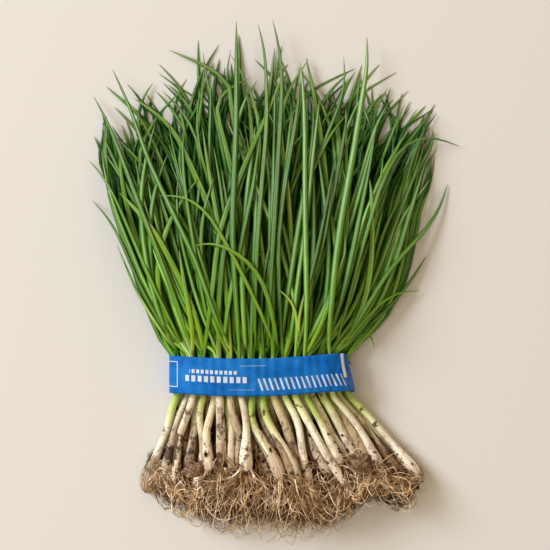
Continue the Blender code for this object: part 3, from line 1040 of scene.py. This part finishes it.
class Finish:  # a material whose colour is built up in layers
    def __init__(self, name):
        self.material = bpy.data.materials.new(name)
        self.material.use_nodes = True
        self.shader = self.material.node_tree.nodes["Principled BSDF"]
        self.place = self.node("TexCoord").outputs["Object"]

    def feed(self, socket, value):
        if isinstance(value, bpy.types.NodeSocket):
            self.material.node_tree.links.new(value, socket)
        else:
            socket.default_value = value

    def node(self, kind, *values, **settings):
        node = self.material.node_tree.nodes.new("ShaderNode" + kind)
        for name, setting in settings.items():
            setattr(node, name, setting)
        for socket, value in zip(node.inputs, values):
            self.feed(socket, value)
        return node

    def read(self, name):  # the three numbers of a point attribute, and all three as one
        whole = self.node("Attribute", attribute_name=name).outputs["Vector"]
        return (*self.node("SeparateXYZ", whole).outputs[:3], whole)

    def compute(self, kind, *values):
        return self.node("Math", *values, operation=kind).outputs[0]

    def times(self, one, other):
        return self.compute("MULTIPLY", one, other)

    def within(self, value, low, high):  # 1 between two limits, 0 outside them
        return self.times(self.compute("GREATER_THAN", value, low), self.compute("LESS_THAN", value, high))

    def ramp(self, amount, low, high):  # 0 below low, 1 above high
        return self.node("MapRange", amount, low, high, 0, 1).outputs[0]

    def speckle(self, vector, stretch, detail, roughness=0.5):
        mapping = self.node("Mapping", vector)
        mapping.inputs["Scale"].default_value = stretch
        noises = self.node("TexNoise", mapping.outputs[0])
        for name, value in (("Scale", 1), ("Detail", detail), ("Roughness", roughness)):
            noises.inputs[name].default_value = value
        return noises.outputs["Fac"]

    def shades(self, amount, *stops):  # each stop is a place and its colour
        node = self.node("ValToRGB", amount)
        elements = node.color_ramp.elements
        elements.remove(elements[1])
        elements[0].position = stops[0][0]
        elements[0].color = (*stops[0][1:], 1)
        for place, *colour in stops[1:]:
            elements.new(place).color = (*colour, 1)
        return node.outputs["Color"]

    def blend(self, kind, amount, other):
        node = self.node("Mix", amount, data_type="RGBA", blend_type=kind)
        self.feed(node.inputs[6], self.colour)
        self.feed(node.inputs[7], other if isinstance(other, bpy.types.NodeSocket) else (*other, 1))
        self.colour = node.outputs[2]

    def cover(self, amount, *colour):
        self.blend("MIX", amount, colour)

    def tint(self, amount, *stops, strength=1):
        self.blend("MULTIPLY", strength, self.shades(amount, *stops))

    def paintDepthShade(self, *stops):  # painted shade: darker with the depth in the bunch, which the stops give in metres; a first stop above 1 paints light on the top of the bunch
        deepest = stops[-1][0]
        amount = self.ramp(self.read("depth")[0], 0, deepest)
        self.tint(amount, *[(depth / deepest, *tone) for depth, *tone in stops])

    def complete(self, roughness, specular=0.5, height=None, strength=0, distance=0):
        self.feed(self.shader.inputs["Base Color"], self.colour)
        self.feed(self.shader.inputs["Roughness"], roughness)
        self.shader.inputs["Specular IOR Level"].default_value = specular
        if height is not None:
            bump = self.node("Bump")
            bump.inputs["Strength"].default_value = strength
            bump.inputs["Distance"].default_value = distance
            self.feed(bump.inputs["Height"], height)
            self.feed(self.shader.inputs["Normal"], bump.outputs[0])
        return self.material


def leafFinish():
    leaf = Finish("leafSkin")
    growth, tint, length, _ = leaf.read("mood")
    _, acrossBlade, _, grain = leaf.read("grain")
    leaf.colour = leaf.shades(
        growth, (0.2, 0.72, 0.78, 0.36), (0.255, 0.34, 0.52, 0.055), (0.31, 0.16, 0.37, 0.009),
        (0.4, 0.104, 0.275, 0.006), (0.6, 0.09, 0.25, 0.008), (0.85, 0.112, 0.27, 0.014),
        (1, 0.16, 0.305, 0.02),
    )
    leaf.tint(
        tint, (0, 2.6, 1.7, 9), (0.05, 2.2, 1.6, 5), (0.1, 1.55, 1.28, 1.7), (0.2, 1.15, 1.08, 1.2),
        (0.32, 1.05, 1.05, 1), (0.44, 0.48, 0.6, 0.5), (0.56, 0.95, 1, 1.2), (0.68, 0.55, 0.72, 0.9),
        (0.84, 1, 1.06, 2.4), (1, 1.5, 1.4, 5),
    )
    lines = leaf.speckle(grain, (85, 7.5, 7.5), 5, 0.66)
    leaf.tint(lines, (0.34, 0.52, 0.62, 0.42), (0.5, 1, 1, 1), (0.68, 1.55, 1.38, 1.8))
    # a painted highlight: a paler stripe along each blade, at a place across it that differs from leaf to
    # leaf
    paintedHighlight = leaf.compute("SUBTRACT", acrossBlade, leaf.compute("MULTIPLY_ADD", tint, 0.9, -0.65))
    paintedHighlight = leaf.ramp(leaf.compute("ABSOLUTE", paintedHighlight), 0.28, 0.02)
    leaf.blend("MULTIPLY", paintedHighlight, (1.55, 1.4, 1.6))
    # the painted highlight is whitened towards the tips, in the colour of a waxy bloom
    highlightBloom = leaf.times(paintedHighlight, leaf.ramp(growth, 0.28, 0.62))
    leaf.cover(leaf.times(highlightBloom, 0.45), 0.52, 0.62, 0.4)
    # painted shade: each blade darker towards its two sides
    edgeShade = leaf.ramp(leaf.compute("ABSOLUTE", acrossBlade), 0.58, 0.98)
    leaf.blend("MULTIPLY", edgeShade, (0.28, 0.42, 0.18))
    patches = leaf.speckle(leaf.place, (28, 9, 28), 2)
    leaf.tint(patches, (0.36, 0.72, 0.76, 0.72), (0.64, 1.28, 1.18, 1.35), strength=0.8)
    dry = leaf.times(leaf.ramp(length, 0.955, 1), leaf.ramp(lines, 0.4, 0.6))
    leaf.cover(dry, 0.32, 0.21, 0.085)
    # painted shade deep in the heap of leaves, and painted light on the top ones
    leaf.paintDepthShade(
        (0, 1.26, 1.18, 1.6), (0.003, 0.93, 1, 0.8), (0.006, 0.36, 0.7, 0.12), (0.01, 0.09, 0.42, 0.02),
        (0.016, 0.03, 0.28, 0.01),
    )
    return leaf.complete(leaf.ramp(lines, -0.3, 2), 0.42, lines, 0.35, 0.0006)


def stemFinish():
    stem = Finish("stemSkin")
    growth, tint, dirtAndShade, _ = stem.read("mood")
    grain = stem.read("grain")[3]
    stem.colour = stem.shades(
        growth, (0, 0.86, 0.74, 0.58), (0.06, 0.97, 0.9, 0.78), (0.13, 0.98, 0.95, 0.85),
        (0.175, 0.98, 0.98, 0.83), (0.205, 0.9, 0.95, 0.66), (0.235, 0.58, 0.76, 0.28),
        (0.28, 0.2, 0.42, 0.03),
    )
    stem.tint(
        tint, (0, 0.98, 0.88, 0.76), (0.3, 1.08, 1.06, 1.04), (0.6, 1.04, 1.01, 0.94),
        (0.85, 0.86, 0.76, 0.64), (0.9, 1.08, 1.07, 1.06),
    )
    lines = stem.speckle(grain, (30, 8.5, 8.5), 5, 0.66)
    stem.tint(
        lines, (0.34, 0.46, 0.34, 0.22), (0.45, 0.98, 0.95, 0.9), (0.6, 1.16, 1.16, 1.15), strength=0.9,
    )
    low = stem.ramp(growth, 0.24, 0.02)  # 0 at the band, 1 at the bulb
    # more dirt spots on dirtier stems and on the lower layers, where they also paint shade
    low = stem.times(low, stem.compute("MULTIPLY_ADD", dirtAndShade, 1, 0.45))

    def spots(vector, stretch, detail, roughness, start, full, lowShare, share):
        # spots of dirt, with more of them towards the bulb
        spread = stem.ramp(stem.speckle(vector, stretch, detail, roughness), start, full)
        return stem.times(spread, stem.compute("MULTIPLY_ADD", low, lowShare, share))

    stains = spots(stem.place, (85, 42, 85), 5, 0.66, 0.49, 0.62, 0.85, 0.08)
    stem.blend("MIX", stains, stem.shades(
        tint, (0, 0.46, 0.26, 0.15), (0.5, 0.34, 0.21, 0.11), (1, 0.56, 0.36, 0.25),
    ))
    dirt = spots(stem.place, (210, 120, 210), 5, 0.68, 0.545, 0.62, 1.15, 0.12)
    stem.cover(dirt, 0.095, 0.052, 0.026)
    caked = stem.times(stem.ramp(growth, 0.13, 0.02), 0.13)  # soil cakes on the bulbs
    caked = stem.compute("ADD", caked, stem.speckle(stem.place, (95, 80, 95), 5, 0.65))
    stem.cover(stem.ramp(caked, 0.6, 0.66), 0.125, 0.072, 0.038)
    streaks = spots(grain, (38, 7, 7), 4, 0.7, 0.57, 0.63, 0.85, 0.15)
    stem.cover(streaks, 0.2, 0.115, 0.06)
    specks = spots(stem.place, (800, 560, 800), 3, 0.6, 0.6, 0.65, 0.65, 0.3)
    stem.cover(specks, 0.085, 0.05, 0.028)
    # darker towards the bulb: dirt, and painted shade on the lower layers
    bulbDirtAndShade = stem.times(stem.compute("POWER", dirtAndShade, 1.6), stem.ramp(growth, 0.25, 0.1))
    stem.blend("MULTIPLY", bulbDirtAndShade, (0.28, 0.19, 0.12))
    # painted shade deep among the stems, and painted light on the top ones
    stem.paintDepthShade(
        (0, 1.16, 1.15, 1.15), (0.0035, 1, 0.99, 0.98), (0.007, 0.5, 0.4, 0.29),
        (0.011, 0.19, 0.11, 0.05), (0.017, 0.07, 0.03, 0.01),
    )
    stem.shader.inputs["Subsurface Weight"].default_value = 0.12
    stem.shader.inputs["Subsurface Radius"].default_value = (0.004, 0.003, 0.0015)
    stem.shader.inputs["Subsurface Scale"].default_value = 0.5
    raised = stem.compute("MULTIPLY_ADD", dirt, 0.8, lines)
    return stem.complete(stem.compute("MULTIPLY_ADD", dirt, 0.4, 0.38), 0.35, raised, 0.6, 0.0008)


def skinFinish():
    skin = Finish("paperySkin")
    tint = skin.read("mood")[1]
    lines = skin.speckle(skin.read("grain")[3], (20, 8, 8), 5, 0.65)
    skin.colour = skin.shades(
        tint, (0, 0.36, 0.22, 0.12), (0.3, 0.56, 0.41, 0.25), (0.7, 0.84, 0.72, 0.52), (1, 0.34, 0.24, 0.15),
    )
    skin.tint(lines, (0.34, 0.5, 0.42, 0.34), (0.5, 1, 0.98, 0.95), (0.66, 1.4, 1.36, 1.3))
    dirt = skin.ramp(skin.speckle(skin.place, (230, 140, 230), 5, 0.68), 0.52, 0.62)
    skin.cover(skin.times(dirt, 0.85), 0.1, 0.06, 0.034)
    # painted shade deep in the bunch
    skin.paintDepthShade(
        (0, 1, 1, 1), (0.004, 1, 1, 1), (0.008, 0.48, 0.38, 0.28), (0.012, 0.2, 0.12, 0.06),
        (0.018, 0.09, 0.04, 0.015),
    )
    return skin.complete(0.55, height=lines, strength=0.8, distance=0.0008)


def rootFinish():
    root = Finish("rootSkin")
    root.colour = root.shades(
        root.read("mood")[1], (0, 0.15, 0.085, 0.038), (0.3, 0.26, 0.155, 0.07), (0.5, 0.52, 0.355, 0.19),
        (0.8, 0.88, 0.68, 0.44), (1, 1, 0.9, 0.74),
    )
    soiled = root.ramp(root.speckle(root.place, (120, 120, 120), 4, 0.6), 0.47, 0.6)
    root.cover(root.times(soiled, 0.75), 0.15, 0.082, 0.036)
    root.paintDepthShade(
        # painted shade deep in the root mat, and painted light on its top
        (0, 1.6, 1.6, 1.6), (0.002, 1.05, 1.02, 1), (0.0045, 0.46, 0.35, 0.25), (0.008, 0.15, 0.09, 0.05),
        (0.013, 0.05, 0.02, 0.01),
    )
    return root.complete(0.75)


def soilFinish(name, lightness):
    earth = Finish(name)
    fine = earth.speckle(earth.place, (420, 420, 420), 6, 0.7)
    earth.colour = earth.shades(
        fine, (0.3, 0.016, 0.011, 0.007), (0.48, 0.06, 0.039, 0.025), (0.6, 0.14, 0.098, 0.066),
        (0.75, 0.3, 0.22, 0.16),
    )
    broad = earth.speckle(earth.place, (60, 60, 60), 3)
    earth.tint(broad, (0.35, 0.6, 0.55, 0.5), (0.65, 1.35, 1.3, 1.25), strength=0.8)
    earth.blend("MULTIPLY", 1, (lightness, lightness * 0.95, lightness * 0.88))
    return earth.complete(0.95, 0.15, fine, 1, 0.0012)


bandPrint = {  # plain white marks, placed by (left, right, low, high) from the middle of the band
    "dashes": (  # and how far apart they are
        (-0.0588, -0.0204, 0.0022, 0.0052, 0.0038), (-0.0644, -0.0124, -0.0044, 0.0004, 0.0052),
    ),
    "dashShare": 0.62,
    "bars": (-0.0052, 0.0655, -0.0105, -0.001, 0.0043),
    "barShare": 0.34,
    "slant": 0.35,
    "rules": (  # and how white they are
        (-0.018, 0.003, 0.009, 0.0095, 0.45), (-0.026, -0.006, -0.01, -0.0096, 0.45),
        (-0.07, -0.0693, -0.0098, 0.0108, 0.9), (-0.08, -0.0693, 0.0101, 0.0108, 0.9),
        (-0.08, -0.0693, -0.0098, -0.0091, 0.9),
    ),
    "margin": 0.003,
}


def bandInk(paper, place, across):  # 0 where the paper is bare
    def box(sideways, left, right, low, high):
        return paper.times(paper.within(sideways, left, right), paper.within(across, low, high))

    def row(sideways, left, right, low, high, pitch, share):
        beat = paper.compute("FRACT", paper.compute("DIVIDE", sideways, pitch))
        return paper.times(box(sideways, left, right, low, high), paper.compute("LESS_THAN", beat, share))

    slanted = paper.compute("MULTIPLY_ADD", across, bandPrint["slant"], place)
    marks = [row(place, *dashes, bandPrint["dashShare"]) for dashes in bandPrint["dashes"]]
    marks.append(row(slanted, *bandPrint["bars"], bandPrint["barShare"]))
    marks += [paper.times(box(place, *edges), white) for *edges, white in bandPrint["rules"]]
    ink = 0
    for mark in marks:
        ink = paper.compute("MAXIMUM", ink, mark)
    return ink


def bandFinish():
    paper = Finish("bluePaper")
    place, across, fromEnd, whole = paper.read("paper")
    paper.colour = paper.shades(
        paper.speckle(whole, (38, 70, 0), 3),
        (0.34, 0.002, 0.125, 0.46), (0.5, 0.004, 0.175, 0.58), (0.66, 0.022, 0.22, 0.62),
    )
    paper.tint(
        paper.ramp(place, -0.08, 0.08), (0, 0.3, 0.94, 1.04), (0.3, 0.3, 0.94, 1.04), (0.5, 1.2, 1.02, 1.05),
        (0.72, 0.6, 0.96, 1.12), (0.9, 0.4, 0.94, 1.12), (1, 5, 0.86, 1.15),
    )
    fine = paper.speckle(whole, (420, 900, 0), 4, 0.6)
    paper.tint(fine, (0.3, 0.7, 0.7, 0.7), (0.7, 1.3, 1.3, 1.3), strength=0.35)
    # paler streaks along the strip
    paleStreaks = paper.ramp(paper.speckle(whole, (60, 1100, 0), 3, 0.7), 0.66, 0.74)
    paper.cover(paper.times(paleStreaks, 0.35), 0.35, 0.5, 0.78)
    rubbed = paper.ramp(paper.speckle(whole, (900, 900, 0), 4, 0.7), 0.34, 0.46)
    ink = paper.times(bandInk(paper, place, across), paper.compute("MULTIPLY_ADD", rubbed, 0.35, 0.5))
    paper.cover(ink, 0.86, 0.9, 0.94)
    margin = paper.compute("LESS_THAN", fromEnd, bandPrint["margin"])
    paper.cover(paper.times(margin, paper.compute("GREATER_THAN", across, -0.004)), 0.8, 0.8, 0.78)
    return paper.complete(0.55, 0.16, paper.speckle(whole, (160, 260, 0), 4, 0.6), 0.5, 0.001)


def coat(piece, finish):
    piece.data.materials.clear()
    piece.data.materials.append(finish)
    piece.data.shade_smooth()


besides = ((0, 0), (0, 1), (0, -1), (1, 0), (-1, 0))
airy = (  # (along, share): where the bunch is open to the light, what is low looks less deep and gets less painted shade
    (-0.126, 0.1), (-0.106, 1), (-0.05, 1), (-0.024, 0.62), (-0.008, 0.62), (0.018, 1), (0.11, 1),
    (0.23, 0.75),
)


def topOf(leaves):  # the height of the upper side of the leaves and stems, over the grid
    top = heapOf(leaves)
    for n, onion in enumerate(onions):
        stamp(top, stemPoints(n, onion["base"], 0), onion["radius"])
    for _ in range(2):
        top = np.maximum.reduce([np.roll(top, shift, (0, 1)) for shift in besides])
    return top


def raiseToRoots(top, points):  # the few roots that stand up highest are left out
    column, row = cellOf(points[:, 0], points[:, 1])
    cells = column * top.shape[1] + row
    order = np.lexsort((points[:, 2], cells))
    cells, heights = cells[order], points[order, 2]
    last = np.append(np.nonzero(np.diff(cells))[0], len(cells) - 1)
    first = np.append(0, last[:-1] + 1)
    mat = np.zeros(top.size)
    mat[cells[first]] = heights[(first + (last - first) * 0.9).astype(int)]
    mat = mat.reshape(top.shape)
    for _ in range(2):
        mat = sum(np.roll(mat, shift, (0, 1)) for shift in besides) / len(besides)
    return np.maximum(top, mat)


def markShadeDepth(piece, top):
    # "depth" tells the finishes how far a point lies below the top of the bunch, for the shade they paint
    # into the colour
    points = meshPoints(piece)
    depth = np.zeros_like(points)
    depth[:, 0] = np.maximum(top[cellOf(points[:, 0], points[:, 1])] - points[:, 2], 0)
    places, shares = zip(*airy)
    depth[:, 0] *= np.interp(points[:, 1] - bandMiddle.y, places, shares)
    label(piece, "depth", depth)


def spotOnStem(n, place):
    return Vector(routePoints(np.array([place]), n, stemAlong, stemX, stemZ)[0])


def handIn(piece, node=None):
    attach(piece, "root")
    if node:
        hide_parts(node)


addStudio()
say("studio ready")
onions = [readOnion(node) for node in sorted(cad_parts) if node.startswith("spring_onion")]
stemAlong, stemX, stemZ = stemRoutes()
say(f"{len(onions)} stems settled")
leaves = leafRoutes()
say(f"{len(leaves)} leaves settled")
top = topOf(leaves)
leaves += strayRoutes(leaves)
say(f"{len(leaves)} leaves with those that stray over the top")
leafBlank = modelTube("leafBlank", leafBlade["sides"], leafBlade["outline"])
madeLeaves = makeLeaves(leaves, leafBlank)
bpy.data.meshes.remove(leafBlank.data)
say("leaves laid")

leafSkin, stemSkin, paperySkin = leafFinish(), stemFinish(), skinFinish()
rootSkin, soilCrumb, soilLump = rootFinish(), soilFinish("soilCrumb", 1.2), soilFinish("soilLump", 3)
sleeveBlank = modelSleeve()
wholes, rootPoints = [], []
for n, onion in enumerate(onions):
    stem = makeStem(n, onion)
    coat(stem, stemSkin)
    base = spotOnStem(n, onion["base"])
    heading = (base - spotOnStem(n, onion["base"] + 0.015)).normalized()
    roots = makeRoots(base, heading, onion["bulb"])
    coat(roots, rootSkin)
    rootPoints.append(meshPoints(roots))
    pieces = [*madeLeaves[n], roots]
    if onion["layer"] < 3 and abs(onion["side"]) < 0.85 and onion["base"] > -0.086:  # soil in the tuft, a dark lump that also stands in for the shade among the roots
        place = base + heading * dice.uniform(0.003, 0.007) - Vector((0, 0, 0.002))
        soilShadeCore = modelLump("soilShadeCore", rootHair["soilShadeCore"], place, soil["lumpRoughness"], 3, n)
        coat(soilShadeCore, soilCrumb)
        pieces.append(soilShadeCore)
    for leaf in madeLeaves[n]:
        coat(leaf, leafSkin)
    if dice.random() < skinSleeve["share"]:
        sleeve = makeSleeve(n, onion, sleeveBlank)
        coat(sleeve, paperySkin)
        pieces.append(sleeve)
    whole = joined((*pieces, stem))
    whole.name = onion["node"].replace("spring_onion", "onion")
    points = meshPoints(whole)
    points[:, 2] = np.maximum(points[:, 2], 0.0002)  # what lies on the table is pressed flat
    movePoints(whole, points)
    handIn(whole, onion["node"])
    wholes.append(whole)
bpy.data.meshes.remove(sleeveBlank.data)
top = raiseToRoots(top, np.vstack(rootPoints))
for whole in wholes:
    markShadeDepth(whole, top)
say("onions finished")

band = makeBand()
coat(band, bandFinish())
handIn(band, "paper_band")
say("band wrapped")

crumbs = makeCrumbs()
crumbs.data.materials.clear()
crumbs.data.materials.append(soilCrumb)
handIn(crumbs)
for node in ("soil_clod_1", "soil_clod_2"):
    clod = makeClod(node)
    coat(clod, soilLump)
    handIn(clod, node)
say("soil added")
